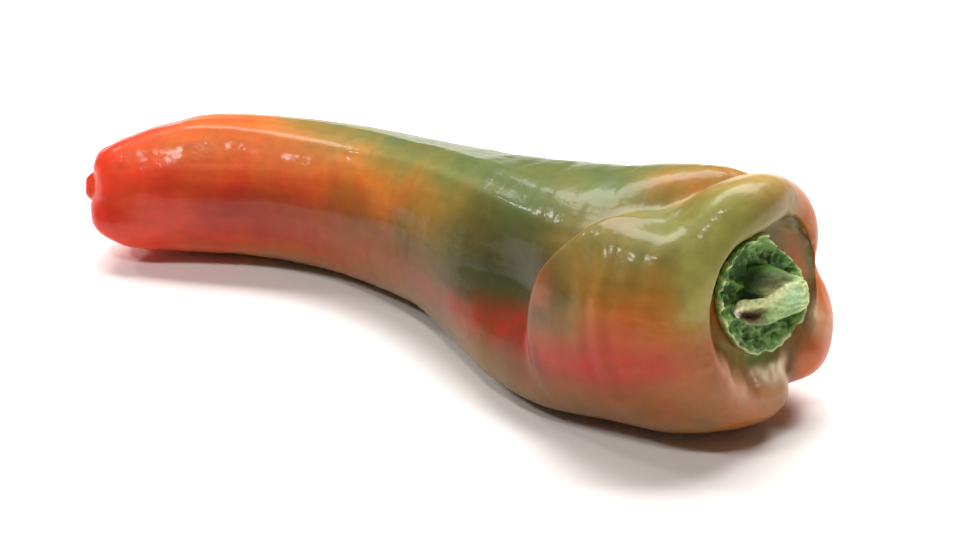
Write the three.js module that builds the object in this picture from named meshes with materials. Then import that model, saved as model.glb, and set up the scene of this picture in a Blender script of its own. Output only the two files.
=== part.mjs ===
// A long sweet pepper lying on its side: one fleshy fruit, the crinkled green calyx
// at the bottom of its stem cavity, and the short torn stem that grows out of the calyx.
// Millimetres, +Z up. +X runs from the blossom end to the stem end, -Y is the near side.
// The origin is the middle of the bounding box, on the surface that the fruit lies on.
import * as THREE from 'three';

// ---------------------------------------------------------------- driving dimensions

const LENGTH = 191.5; // of the centre line, measured along X
const BOW = 27.5; // how far the body bows to the far side
const BODY_WIDTH = 38;
const BODY_HEIGHT = 38;
const SHOULDER_WIDTH = 63.5;
const SHOULDER_HEIGHT = 62;
const FOLD_HEIGHT = 6.5; // of the step where the near shoulder lobe meets the body
const CAVITY_WIDTH = 31; // of its floor
const CAVITY_WALL = 6.5; // across its wall, from the edge of the floor to the crest of the rim
const CAVITY_DEPTH = 4.9;
const CAVITY_LEAN = 12; // degrees by which the floor leans to the near side
const CAVITY_RISE = 2.2; // how far the floor's middle sits above the centre line
const CAVITY_SHIFT = 4.5; // and beyond it, towards the far side
const CALYX_CLEARANCE = 0.6; // between the calyx and the edge of the cavity's floor
const CALYX_THICKNESS = 1.6;
const NECK_HEIGHT = 3.1; // of the calyx's middle, which carries the stem
const STEM_LENGTH = 8.5;
const STEM_WIDTH = 11.5;
const STEM_SLANT = 2.6; // how much longer its far side is than its middle
const STEM_RISE = 1.6; // how far it stands above the cavity's axis
const STEM_SIDE = 1; // and beside it, to the near side
const STEM_BEND = 4; // how far its end bends further to the near side
const STEM_SAG = 0.8; // and down
const STEM_TORN = 1.3; // how ragged its torn end is
const GAP = 0.3; // between pieces that touch

// The fruit's centre line from the blossom end to the stem end. x is a share of the length
// and y of the bow. The flesh round it is the body's size at swell 0 and the shoulder's at
// swell 1, times full; under is the space between its underside and the surface, in mm.
const STATIONS = [
  { x: -0.59, y: -0.255, swell: 0, full: 0.69, under: 5 },
  { x: -0.48, y: 0.255, swell: 0, full: 0.92, under: 1.1 },
  { x: -0.366, y: 0.618, swell: 0, full: 0.973, under: 0.1 },
  { x: -0.24, y: 0.745, swell: 0, full: 1, under: -0.2 },
  { x: -0.104, y: 0.564, swell: 0.125, full: 1, under: 0.5 },
  { x: 0.026, y: 0.255, swell: 0.345, full: 1, under: 0.9 },
  { x: 0.157, y: 0.036, swell: 0.62, full: 1, under: 0.4 },
  { x: 0.282, y: -0.036, swell: 0.86, full: 1, under: -0.45 },
  { x: 0.41, y: -0.18, swell: 0.98, full: 1, under: 1.9 },
];

// The skin from the nub of the blossom end to the shoulder: share of the centre line's
// length, and share of the flesh's half width there.
const OUTSIDE = [
  [-0.012, 0], [-0.011, 0.12], [-0.005, 0.2], [0.002, 0.28], [0.005, 0.42], [0.017, 0.63],
  [0.045, 0.81], [0.09, 0.94], [0.15, 1], [0.3, 1], [0.45, 1], [0.6, 1], [0.72, 1], [0.82, 1],
  [0.895, 0.99], [0.945, 0.95], [0.98, 0.87], [0.997, 0.78],
];
// The wall of the stem cavity, from the crest of the rim to the edge of the floor: share of
// its depth, and share of the way across it.
const WALL = [[0, 0], [0.25, 0.28], [0.5, 0.48], [0.78, 0.71], [0.98, 1]];

// Places on the skin are the distance along it from the blossom end, in percent of the way
// to the crest of the rim, and the angle round the centre line, in degrees from the top
// towards the near side.
// Ridges (positive lift) and furrows (negative lift) run along the fruit: each row is a
// distance, the crest's angle there and its lift; span is the half width in degrees.
const RIDGES = [
  // The crest between the top and the near flank of the body.
  {
    span: 20,
    rows: [[0, 15, 0], [8, 15, 1.6], [28, 24, 1.5], [51.5, 28, 1.8], [69.5, 36, 1.6], [81.5, 44, 0]],
  },
  // The fainter crest that runs above it.
  { span: 12, rows: [[28, -10, 0], [44.5, 4, 0.8], [67, 16, 1.2], [81.5, 24, 0]] },
  // The lower near crest of the body, which swells into the bottom lobe of the shoulder.
  {
    span: 30,
    rows: [
      [0, 130, 0], [5.5, 130, 5.5], [14, 135, 1.8], [42, 135, 1.2], [58, 128, 1.5],
      [74.5, 125, 8.5], [86, 130, 4.5], [100, 150, 1], [112, 165, 0],
    ],
  },
  // The far crest.
  { span: 34, rows: [[0, -105, 0], [6.5, -105, 1.4], [42, -105, 1.2], [112, -120, 1]] },
  // The crest of the near shoulder lobe, from the fold to the top of the rim.
  { span: 20, rows: [[82.5, 52, 0], [89.5, 45, 0], [94.5, 14, 2.8], [98.5, -6, 4], [107.5, -8, 0]] },
  // The far shoulder lobe.
  { span: 22, rows: [[77, -15, 0], [88.5, -25, 1.5], [96.5, -62, 2], [107.5, -65, 0]] },
  // The furrow between the near and the far shoulder lobes.
  { span: 13, rows: [[77, 30, 0], [85.5, 18, -3], [92, -6, -4], [98, -32, -3], [107.5, -35, 0]] },
  // The hollows and bumps round the rim.
  { span: 42, rows: [[93, 75, 0], [99.5, 75, -2.5], [106, 75, 0]] },
  { span: 10, rows: [[88.5, -93, 0], [99, -93, -3], [108, -93, 0]] },
  { span: 18, rows: [[86, -125, 0], [96.5, -125, 3.5], [108, -125, 0]] },
  { span: 9, rows: [[90.5, -154, 0], [99.5, -154, -2.5], [108, -154, 0]] },
];

// The fold where the near shoulder lobe bulges back over the body: each row is an angle,
// the distance of the fold there and its share of the fold's height.
const FOLD = [
  [14, 92, 0], [30, 88.5, 0.4], [46, 82.5, 0.92], [60, 79.5, 1], [75, 78, 0.92], [90, 77.5, 0.7],
  [108, 78, 0.3], [125, 79.5, 0],
];
const FOLD_RUN = 3.3;
const FOLD_LEAN = 0.55;
const FOLD_FADE = { from: 85, to: 97 };

// Where the ridges rise at the blossom end, and from where they die out towards the edge of
// the cavity's floor.
const RIDGE_ENDS = { start: 0.5, full: 5, fading: 100.5 };
// Where the skin starts to take the cavity's lean, and how far past the edge of its floor it has.
const CAVITY_TURN = { start: 99, settled: 0.7 };

// Local bulges and dents.
const SWELLINGS = [
  // The far side of the blossom end, which tapers more.
  { along: 3.5, angle: -15, lift: -3.5, reach: 3.9, span: 55 },
  // The hollow of the body in front of the fold.
  { along: 72, angle: 75, lift: -3, reach: 5.1, span: 30 },
  // The top of the near shoulder lobe, next to the fold.
  { along: 86.5, angle: 33, lift: 2, reach: 3.8, span: 13 },
  // The saddle between it and the rim.
  { along: 92.5, angle: 24, lift: -2, reach: 3.2, span: 12 },
];

// Bands of rings of vertices along the skin, closer together where it turns. The last one
// runs from the crest of the rim to the middle of the cavity's floor.
const BANDS = [{ to: 5.5, rings: 8 }, { to: 70, rings: 33 }, { to: 92, rings: 30 }, { to: 100, rings: 9 }];
const CAVITY_RINGS = 15;
const SIDES = 60;

// The calyx's blade from the middle of its back: share of its thickness and of its radius.
const BLADE = [[0, 0], [0, 0.5], [0.03, 0.85], [0.2, 0.96], [0.55, 1], [0.9, 0.95], [1, 0.8]];
// Its neck, to the middle of its front: share of the way up, and share of the stem's half width.
const NECK = [[0.15, 1.65], [0.4, 1.35], [0.75, 1.22], [0.95, 1.08], [1, 0.8], [1, 0]];
// Its points and the notches between them: angle, share of the radius, and upward curl.
const CALYX_POINTS = [
  [-163, 1, 1.2], [-138, 0.93, 0.4], [-112, 1, 1.8], [-90, 0.94, 0.5], [-66, 1, 1.4], [-30, 0.92, 0.3],
  [5, 1, 1.5], [25, 0.93, 0.4], [45, 0.99, 0.8], [66, 0.94, 0.2], [87, 1, 0.6], [105, 0.94, 0.2],
  [122, 1, 0.9], [141, 0.93, 0.3], [160, 0.99, 1.3], [178, 0.93, 0.5], [197, 1, 1.2],
];
const CRINKLE = { waves: 16, height: 0.35 };
const CALYX_GRID = { rings: 18, sides: 64 };

// The stem from the middle of its foot to the bottom of its torn hollow end: share of its
// length, and share of its half width.
const STEM = [
  [0, 0], [0, 0.7], [0.04, 0.9], [0.12, 0.96], [0.3, 0.88], [0.5, 0.92], [0.7, 1.05], [0.88, 1.18],
  [0.98, 1.16], [1, 1.06], [0.97, 0.92], [0.86, 0.78], [0.74, 0.62], [0.7, 0.35], [0.7, 0],
];
const STEM_GRID = { rings: 26, sides: 36 };

const DEGREES = Math.PI / 180;

// ---------------------------------------------------------------- helpers

// A smooth curve through numbers that are evenly spaced, read at 0 to 1.
function track(values) {
  const line = new THREE.CatmullRomCurve3(values.map((v, i) => new THREE.Vector3(i, v, 0)));
  return (t) => line.getPoint(t).y;
}

// A smooth step from 0 to 1 between two values.
const step = (value, from, to) => THREE.MathUtils.smootherstep(value, from, to);

// A rounded bump that is 1 at 0 and gone by about 2.
const bump = (distance) => Math.exp(-distance * distance);

// The shortest turn from one angle to another, in degrees.
const turnBetween = (a, b) => ((((a - b) % 360) + 540) % 360) - 180;

// Reads the other columns of a table of rows at any value of its first column, smoothly.
function table(rows) {
  const keys = rows.map((row) => row[0]);
  const columns = rows[0].length - 1;
  const values = rows.flatMap((row) => row.slice(1));
  const spline = new THREE.CubicInterpolant(keys, values, columns, new Array(columns));
  spline.settings = { endingStart: THREE.ZeroSlopeEnding, endingEnd: THREE.ZeroSlopeEnding };
  return (value) => spline.evaluate(value);
}

// A profile curve through [distance along the axis, distance from it] pairs.
function profile(pairs) {
  const points = pairs.map(([along, out]) => new THREE.Vector3(along, out, 0));
  const curve = new THREE.CatmullRomCurve3(points, false, 'centripetal');
  curve.arcLengthDivisions = 1200;
  return curve;
}

// Evenly spaced percentages from 0 to 100.
const evenly = (rings) => Array.from({ length: rings + 1 }, (_, i) => (100 * i) / rings);

// A closed skin of rings between two poles, which are the first and the last distance.
// point(distance, angle) gives its points, with the distance in percent and the angle in degrees.
function skinGeometry(distances, sides, point) {
  const rings = distances.length - 1;
  const positions = [];
  const faces = [];
  const vertex = (ring, side) => 1 + (ring - 1) * sides + (side % sides);
  positions.push(...point(distances[0], 0));
  for (let ring = 1; ring < rings; ring += 1) {
    for (let side = 0; side < sides; side += 1) {
      positions.push(...point(distances[ring], (side / sides) * 360));
    }
  }
  const last = positions.length / 3;
  positions.push(...point(distances[rings], 0));
  for (let side = 0; side < sides; side += 1) {
    faces.push(0, vertex(1, side + 1), vertex(1, side));
    for (let ring = 1; ring < rings - 1; ring += 1) {
      const a = vertex(ring, side);
      const b = vertex(ring, side + 1);
      const c = vertex(ring + 1, side + 1);
      const d = vertex(ring + 1, side);
      faces.push(a, b, d, b, c, d);
    }
    faces.push(last, vertex(rings - 1, side), vertex(rings - 1, side + 1));
  }
  const geometry = new THREE.BufferGeometry();
  geometry.setAttribute('position', new THREE.Float32BufferAttribute(positions, 3));
  geometry.setIndex(faces);
  geometry.computeVertexNormals();
  return geometry;
}

// ---------------------------------------------------------------- the fruit

const halfWidths = STATIONS.map(
  ({ swell, full }) => (full * THREE.MathUtils.lerp(BODY_WIDTH, SHOULDER_WIDTH, swell)) / 2
);
const halfHeights = STATIONS.map(
  ({ swell, full }) => (full * THREE.MathUtils.lerp(BODY_HEIGHT, SHOULDER_HEIGHT, swell)) / 2
);
const spine = new THREE.CatmullRomCurve3(
  STATIONS.map(({ x, y, under }, i) => new THREE.Vector3(x * LENGTH, y * BOW, halfHeights[i] + under))
);
const wideAt = track(halfWidths);
const tallAt = track(halfHeights);
const SPINE_LENGTH = spine.getLength();

// The frame of the section at a distance along the centre line: its middle, its three
// directions and its half sizes.
function sectionAt(distance) {
  const t = THREE.MathUtils.clamp(distance / SPINE_LENGTH, 0, 1);
  const middle = spine.getPointAt(t);
  const forward = spine.getTangentAt(t);
  const near = new THREE.Vector3().crossVectors(forward, new THREE.Vector3(0, 0, 1)).normalize();
  const up = new THREE.Vector3().crossVectors(near, forward).normalize();
  const u = spine.getUtoTmapping(t);
  return { middle, forward, near, up, wide: wideAt(u), tall: tallAt(u) };
}

const FLOOR_AT = SPINE_LENGTH - CAVITY_DEPTH;
const outside = OUTSIDE.map(([share, spread]) => {
  const distance = share * SPINE_LENGTH;
  return [distance, spread * sectionAt(distance).wide];
});
const wall = WALL.map(([down, inward]) => [
  SPINE_LENGTH - down * CAVITY_DEPTH,
  CAVITY_WIDTH / 2 + (1 - inward) * CAVITY_WALL,
]);
const floor = [0.44, 0.2, 0].map((share) => [FLOOR_AT, share * CAVITY_WIDTH]);
const meridian = profile([...outside, ...wall, ...floor]);

// The meridian's length up to one of its points.
const lengths = meridian.getLengths();
const lengthTo = (row) => lengths[Math.round((row * (lengths.length - 1)) / (meridian.points.length - 1))];

// How far along the skin the edge of the cavity's floor and its middle are, in percent of the
// way to the crest of the rim.
const CREST_LENGTH = lengthTo(outside.length);
const FLOOR_EDGE = (100 * lengthTo(outside.length + wall.length - 1)) / CREST_LENGTH;
const END = (100 * meridian.getLength()) / CREST_LENGTH;

const foldPath = table(FOLD);
const ridges = RIDGES.map(({ span, rows }) => ({ span, path: table(rows) }));

// The lift and the backward lean of the skin at the fold.
function foldAt(along, angle) {
  const [edge, share] = foldPath(turnBetween(angle, 0));
  const height = share * FOLD_HEIGHT * step(along, edge - FOLD_RUN / 2, edge + FOLD_RUN / 2);
  const fall = 1 - step(along, FOLD_FADE.from, FOLD_FADE.to);
  const close = 1 - step(along, edge + 1, edge + 8);
  return { lift: height * fall, lean: FOLD_LEAN * height * close };
}

// How far the skin stands out from the plain meridian, and how far it leans back.
function shiftAt(along, angle) {
  const { lift: folded, lean } = foldAt(along, angle);
  let lift = folded;
  for (const { span, path } of ridges) {
    const [crest, height] = path(along);
    lift += height * bump(turnBetween(angle, crest) / span);
  }
  for (const s of SWELLINGS) {
    const sideways = turnBetween(angle, s.angle) / s.span;
    lift += s.lift * bump(Math.hypot((along - s.along) / s.reach, sideways));
  }
  const { start, full, fading } = RIDGE_ENDS;
  const fade = step(along, start, full) * (1 - step(along, fading, FLOOR_EDGE));
  return { lift: lift * fade, lean };
}

// A point of the fruit's skin. Nothing reaches below the surface the fruit lies on.
function fruitPoint(along, angle) {
  const share = Math.min(along / END, 1);
  const at = meridian.getPointAt(share);
  const slope = meridian.getTangentAt(share);
  const { middle, forward, near, up, wide, tall } = sectionAt(at.x);
  const { lift, lean } = shiftAt(along, angle);
  const inside = step(along, CAVITY_TURN.start, FLOOR_EDGE + CAVITY_TURN.settled);
  const reach = at.y + lift * slope.x - lean * slope.y;
  const rise = Math.cos(angle * DEGREES) * reach * (tall / wide) + CAVITY_RISE * inside;
  const sideways = Math.sin(angle * DEGREES) * reach;
  const across = sideways - CAVITY_SHIFT * inside;
  const sunk = sideways * Math.tan(CAVITY_LEAN * DEGREES) * inside;
  const ahead = Math.min(at.x, 0) - lift * slope.y - lean * slope.x - sunk;
  const point = middle.clone().addScaledVector(up, rise);
  point.addScaledVector(near, across).addScaledVector(forward, ahead);
  point.z = Math.max(point.z, 0);
  return point;
}

// The distances along the skin of its rings of vertices.
function ringDistances() {
  const distances = [0];
  for (const { to, rings } of [...BANDS, { to: END, rings: CAVITY_RINGS }]) {
    const from = distances[distances.length - 1];
    for (let i = 1; i <= rings; i += 1) {
      distances.push(THREE.MathUtils.lerp(from, to, i / rings));
    }
  }
  return distances;
}

// ---------------------------------------------------------------- the calyx and the stem

// The frame of the cavity's floor: z out of the cavity, x up and y towards the near side.
function cavityFrame() {
  const { middle, forward, near, up } = sectionAt(FLOOR_AT);
  const out = forward.clone().applyAxisAngle(up, -CAVITY_LEAN * DEGREES);
  const side = near.clone().applyAxisAngle(up, -CAVITY_LEAN * DEGREES);
  const origin = middle.clone().addScaledVector(up, CAVITY_RISE).addScaledVector(near, -CAVITY_SHIFT);
  return new THREE.Matrix4().makeBasis(up, side, out).setPosition(origin);
}

// A point in the cavity's frame from its distance to the axis, its angle and its height.
const polar = (out, angle, height) =>
  new THREE.Vector3(out * Math.cos(angle * DEGREES), out * Math.sin(angle * DEGREES), height);

const CALYX_RADIUS = CAVITY_WIDTH / 2 - CALYX_CLEARANCE;
const blade = BLADE.map(([up, out]) => [GAP + up * CALYX_THICKNESS, out * CALYX_RADIUS]);
const neck = NECK.map(([up, out]) => [
  GAP + THREE.MathUtils.lerp(CALYX_THICKNESS, NECK_HEIGHT, up),
  (out * STEM_WIDTH) / 2,
]);
const calyxProfile = profile([...blade, ...neck]);
const calyxEdge = table(CALYX_POINTS);

// A point of the calyx: its blade reaches out to its points, and its neck stands off centre.
function calyxPoint(along, angle) {
  const at = calyxProfile.getPointAt(along / 100);
  const spread = at.y / CALYX_RADIUS;
  const [reach, curl] = calyxEdge(angle > 197 ? angle - 360 : angle);
  const tip = step(spread, 0.45, 1);
  const front = step(at.x, GAP, GAP + CALYX_THICKNESS) * step(spread, 0.4, 0.7);
  const wave = CRINKLE.height * Math.cos(CRINKLE.waves * angle * DEGREES) * front;
  const point = polar(at.y * THREE.MathUtils.lerp(1, reach, tip), angle, at.x + curl * tip + wave);
  const inner = 1 - step(spread, 0.45, 0.85);
  point.x += STEM_RISE * inner;
  point.y += STEM_SIDE * inner;
  return point;
}

const stalk = STEM.map(([share, spread]) => [share * STEM_LENGTH, (spread * STEM_WIDTH) / 2]);
const stemProfile = profile(stalk);
const STEM_FOOT = GAP + NECK_HEIGHT + GAP;

// A point of the stem, whose torn end is slanted and bends to the near side.
function stemPoint(along, angle) {
  const at = stemProfile.getPointAt(along / 100);
  const end = step(at.x / STEM_LENGTH, 0.3, 1);
  const ragged = Math.cos(3 * angle * DEGREES + 0.6) + 0.6 * Math.cos(5 * angle * DEGREES + 2);
  const slant = (-STEM_SLANT * Math.sin(angle * DEGREES) * at.y) / (STEM_WIDTH / 2);
  const point = polar(at.y, angle, STEM_FOOT + at.x + (slant + STEM_TORN * 0.5 * ragged) * end);
  point.x += STEM_RISE - STEM_SAG * end;
  point.y += STEM_SIDE + STEM_BEND * end;
  return point;
}

// ---------------------------------------------------------------- the pepper

function piece(name, geometry, color, roughness) {
  const mesh = new THREE.Mesh(geometry, new THREE.MeshStandardMaterial({ color, roughness }));
  mesh.name = name;
  return mesh;
}

const skin = skinGeometry(ringDistances(), SIDES, fruitPoint);
const leaf = skinGeometry(evenly(CALYX_GRID.rings), CALYX_GRID.sides, calyxPoint);
const stub = skinGeometry(evenly(STEM_GRID.rings), STEM_GRID.sides, stemPoint);
leaf.applyMatrix4(cavityFrame());
stub.applyMatrix4(cavityFrame());

const pepper = new THREE.Group();
pepper.add(piece('fruit', skin, 0xb04a2c, 0.25));
pepper.add(piece('calyx', leaf, 0x4d6b2a, 0.6));
pepper.add(piece('stem', stub, 0x8fa561, 0.6));

// The origin goes to the middle of the bounding box, on the surface the fruit lies on.
const box = new THREE.Box3().setFromObject(pepper);
const middle = box.getCenter(new THREE.Vector3());
for (const mesh of pepper.children) {
  mesh.geometry.translate(-middle.x, -middle.y, -box.min.z);
}

export default pepper;
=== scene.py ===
"""A long sweet pepper, half ripe, lying on a white studio floor."""

import math
from itertools import product

import bpy
import numpy as np
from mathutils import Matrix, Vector


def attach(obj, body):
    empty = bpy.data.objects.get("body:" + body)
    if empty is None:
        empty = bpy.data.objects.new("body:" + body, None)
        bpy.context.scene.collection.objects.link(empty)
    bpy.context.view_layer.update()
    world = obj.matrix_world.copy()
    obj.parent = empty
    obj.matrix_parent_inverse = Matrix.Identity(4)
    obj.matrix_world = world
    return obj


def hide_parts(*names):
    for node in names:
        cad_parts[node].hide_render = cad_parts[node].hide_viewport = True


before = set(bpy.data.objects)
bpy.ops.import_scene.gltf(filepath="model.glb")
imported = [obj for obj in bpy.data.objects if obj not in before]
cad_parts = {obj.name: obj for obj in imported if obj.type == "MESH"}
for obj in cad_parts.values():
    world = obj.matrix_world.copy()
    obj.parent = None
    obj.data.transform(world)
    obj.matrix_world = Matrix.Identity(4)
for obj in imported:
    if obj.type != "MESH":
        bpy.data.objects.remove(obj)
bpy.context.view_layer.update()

MM = 0.001

# ------------------------------------------------------------------ the shape

# The sizes, the stations and the outline are the CAD's own. The ridges, swellings and leaning
# of the rim, the valley before the near lobe and the blossom end go further than the CAD does.

# Sizes in mm, and the cavity's lean in degrees.
LENGTH, BOW = 191.5, 27.5
BODY_WIDTH, BODY_HEIGHT = 38.0, 38.0
SHOULDER_WIDTH, SHOULDER_HEIGHT = 63.5, 62.0
FOLD_HEIGHT = 6.5
CAVITY_WIDTH, CAVITY_WALL, CAVITY_DEPTH = 31.0, 6.5, 4.9
CAVITY_LEAN, CAVITY_RISE, CAVITY_SHIFT = 12.0, 2.2, 4.5
# The middle of the bounding box, from the centre line's own origin.
MIDDLE = (-13.522, 2.515, 0)

# Stations of the centre line: x in lengths, y in bows, swell from the body (0) to the shoulder
# (1), how full the section is, and how high its underside lies in mm.
STATIONS = [
    (-0.59, -0.255, 0, 0.69, 5),
    (-0.48, 0.255, 0, 0.92, 1.1),
    (-0.366, 0.618, 0, 0.973, 0.1),
    (-0.24, 0.745, 0, 1, -0.2),
    (-0.104, 0.564, 0.125, 1, 0.5),
    (0.026, 0.255, 0.345, 1, 0.9),
    (0.157, 0.036, 0.62, 1, 0.4),
    (0.282, -0.036, 0.86, 1, -0.45),
    (0.41, -0.18, 0.98, 1, 1.9),
]
# The outline of the skin from the blossom end to the rim, in shares of the centre line's length
# and of the half width there; then the cavity's wall, in shares of its depth and of the way in,
# and its floor, in shares of its width.
OUTSIDE = [
    (-0.012, 0), (-0.011, 0.12), (-0.005, 0.2), (0.002, 0.28), (0.005, 0.42), (0.017, 0.63),
    (0.045, 0.81), (0.09, 0.94), (0.15, 1), (0.3, 1), (0.45, 1), (0.6, 1), (0.72, 1), (0.82, 1),
    (0.895, 0.99), (0.945, 0.95), (0.98, 0.87), (0.997, 0.78),
]
WALL = [(0, 0), (0.25, 0.28), (0.5, 0.48), (0.78, 0.71), (0.98, 1)]
CAVITY_FLOOR = [0.44, 0.2, 0]

# Places on the skin are a distance along it, in % of the way from the blossom end's pole to the
# rim's crest, and an angle round it in degrees: 0 on top, 90 on the near side.

# Ridges and furrows: span in degrees, then rows of distance, angle and height in mm.
RIDGES = [
    (20, [(0, 15, 0), (8, 15, 1.6), (28, 24, 1.5), (51.5, 28, 1.8), (69.5, 36, 1.6), (81.5, 44, 0)]),
    (12, [(28, -10, 0), (44.5, 4, 0.8), (67, 16, 1.2), (81.5, 24, 0)]),
    (30, [(0, 130, 0), (5.5, 130, 5.5), (14, 135, 1.8), (42, 135, 1.2), (58, 128, 1.5),
          (74.5, 125, 8.5), (86, 130, 4.5), (100, 150, 1), (112, 165, 0)]),
    (34, [(0, -105, 0), (6.5, -105, 1.4), (42, -105, 1.2), (112, -120, 1)]),
    (22, [(82.5, 52, 0), (89.5, 45, 0), (94.5, 20, 2.8), (98, 2, 3.4), (103, 0, 1), (107.5, 0, 0)]),
    (22, [(77, -15, 0), (88.5, -25, 1.5), (94.5, -55, 0.6), (107.5, -65, 0)]),
    (13, [(77, 32, 0), (85.5, 22, -3), (90, 4, -3.8), (93, -20, -3), (96, -45, 0), (107.5, -50, 0)]),
    (42, [(93, 75, 0), (99.5, 75, -2.5), (106, 75, 0)]),
    (12, [(88.5, -86, 0), (98.5, -86, -2), (108, -86, 0)]),
    (18, [(86, -122, 0), (96.5, -122, 3.2), (108, -122, 0)]),
    (9, [(90.5, -158, 0), (99.5, -158, -2.5), (108, -158, 0)]),
    # Thin sharper crests along the two upper ridges.
    (4.5, [(6, 14, 0), (14, 16, 0.35), (28, 23, 0.4), (51.5, 28, 0.5), (69.5, 35, 0.5), (79, 42, 0)]),
    (4, [(30, -8, 0), (46, 5, 0.3), (67, 17, 0.45), (78, 24, 0)]),
]
# The step where the near lobe folds back over the body: angle, distance and share of its height.
FOLD = [
    (14, 92, 0), (30, 88.5, 0.4), (46, 82.5, 0.92), (60, 79.5, 1), (75, 78, 0.92), (90, 77.5, 0.7),
    (108, 78, 0.3), (125, 79.5, 0),
]
# How far the step runs in %, and how far it leans over the body, in heights.
FOLD_RUN, FOLD_LEAN = 3.3, 0.55
# Where its height dies out, and how far behind its edge its lean does.
FOLD_ENDS, FOLD_LEAN_ENDS = (85, 97), (1, 8)
# Rounder swellings and hollows: distance, angle, height, reach in % and span in degrees.
SWELLINGS = [
    (4.5, -20, 1.4, 3.6, 60),
    (73.5, 78, -4.5, 4.6, 30),
    (86.5, 36, 2, 3.8, 13),
    (92, 26, -4, 3.4, 15),
    (96.6, -27, 2.8, 3.9, 28),
    (97.5, -142, 3.4, 6, 14),
    (98, -176, 1.8, 8, 16),
]
# How far the crest of the rim leans in over the cavity: distance, angle, shift, reach and span.
LEANING_IN = [(100, 88, 3.6, 2.8, 48), (100, -140, 1.2, 2.4, 60), (99.5, -18, -2.6, 3.6, 48)]
# Where relief comes in at the blossom end, and where it and the leaning begin to die out.
RELIEF_STARTS, RELIEF_ENDS, LEANING_ENDS = (0.5, 5), 100.5, 101
# Where the skin begins to follow the leaning cavity, and how far past the floor's edge it does
# so in full.
CAVITY_STARTS, CAVITY_PAST_EDGE = 99, 0.7

# Unevenness all over the skin: noise per mm along it and round it, seed and height in mm.
UNEVENNESS = [
    (1 / 17, 1 / 17, 3, 0.32),
    (0.19, 0.035, 9, 0.13),
    (0.55, 0.1, 21, 0.035),
    (0.012, 0.32, 30, 0.1),
]
UNEVENNESS_ENDS = 102.5
# Round the blossom end: where it starts and dies out, and the heights of its lobes and dents.
TIP_STARTS, TIP_ENDS, TIP_LOBES, TIP_DENTS = (0, 1.5), (3, 11), 0.25, 0.9
# Lumps on the cavity's wall: where they start and begin to die out, and their height.
LUMPS_START, LUMPS_END, LUMPS = (99.5, 101.5), 103, 0.75
# Ripples on the near lobe: their place, reach and span, their height, and radians of them per %.
RIPPLES_AT, RIPPLES, RIPPLE_PACE = (87, 72, 5, 34), 0.22, 2.1

# ------------------------------------------------------------------ helpers

NOISE_CELLS = 32
NOISE_TABLE = np.random.default_rng(11).uniform(-1, 1, (NOISE_CELLS,) * 3)
OCTAVE_SHIFT = 7.31


def eased(t):
    """Goes from 0 to 1 with level ends."""
    return t * t * t * (t * (t * 6 - 15) + 10)


def noise(p, seed, octaves=1):
    """Smooth noise from about -1 to 1 at points (n, 3), each octave half as big and as high."""
    total = np.zeros(len(p))
    for k in range(octaves):
        q = (p + seed) * 2.0**k + OCTAVE_SHIFT * k
        cell = np.floor(q).astype(int)
        f = eased(q - cell)
        for corner in product((0, 1), repeat=3):
            weight = np.prod([f[:, i] if c else 1 - f[:, i] for i, c in enumerate(corner)], axis=0)
            at = (cell + corner) % NOISE_CELLS
            total += weight * NOISE_TABLE[at[:, 0], at[:, 1], at[:, 2]] / 2.0**k
    return total


def step(value, low, high):
    return eased(np.clip((value - low) / (high - low), 0, 1))


def mix(a, b, t):
    return a + (b - a) * t


def wrap(degrees):
    return (degrees + 180) % 360 - 180


def bell(along, angle, place):
    """1 at a place of the skin, given with its reach and span, and less away from it."""
    at, round_at, reach, span = place
    return np.exp(-(((along - at) / reach) ** 2) - (wrap(angle - round_at) / span) ** 2)


def table(rows):
    """Reads the other columns of rows at any value of the first, by cubic interpolation."""
    rows = np.array(rows, float)
    keys, values = rows[:, 0], rows[:, 1:]

    def read(x):
        x = np.clip(x, keys[0], keys[-1])
        i = np.clip(np.searchsorted(keys, x, side="right"), 1, len(keys) - 1)
        t0, t1 = keys[i - 1], keys[i]
        first, last = i == 1, i == len(keys) - 1
        before = np.where(first, 2 * t0 - t1, keys[np.maximum(i - 2, 0)])
        after = np.where(last, 2 * t1 - t0, keys[np.minimum(i + 1, len(keys) - 1)])
        v_before = values[np.where(first, i, i - 2)]
        v_after = values[np.where(last, i, np.minimum(i + 1, len(keys) - 1))]
        wp = 0.5 * (t1 - t0) / (t0 - before)
        wn = 0.5 * (t1 - t0) / (after - t1)
        p = (x - t0) / (t1 - t0)
        parts = (
            (-wp * p**3 + 2 * wp * p**2 - wp * p, v_before),
            ((1 + wp) * p**3 + (-1.5 - 2 * wp) * p**2 + (-0.5 + wp) * p + 1, values[i - 1]),
            ((-1 - wn) * p**3 + (1.5 + wn) * p**2 + 0.5 * p, values[i]),
            (wn * p**3 - wn * p**2, v_after),
        )
        return sum(w[..., None] * v for w, v in parts)

    return read


def curve(points, samples=4000):
    """A centripetal Catmull-Rom curve through points, as evenly spaced parameters and positions."""
    p = np.array(points, float)
    p = np.vstack([2 * p[0] - p[1], p, 2 * p[-1] - p[-2]])
    u = np.linspace(0, len(points) - 1, samples)
    i = np.minimum(u.astype(int), len(points) - 2)
    w = (u - i)[:, None]
    p0, p1, p2, p3 = p[i], p[i + 1], p[i + 2], p[i + 3]
    pairs = ((p0, p1), (p1, p2), (p2, p3))
    d0, d1, d2 = (np.sqrt(np.linalg.norm(b - a, axis=1))[:, None] for a, b in pairs)
    a = ((p1 - p0) / d0 - (p2 - p0) / (d0 + d1) + (p2 - p1) / d1) * d1
    b = ((p2 - p1) / d1 - (p3 - p1) / (d1 + d2) + (p3 - p2) / d2) * d1
    at = p1 + a * w + (-3 * p1 + 3 * p2 - 2 * a - b) * w**2 + (2 * p1 - 2 * p2 + a + b) * w**3
    return u, at


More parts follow.
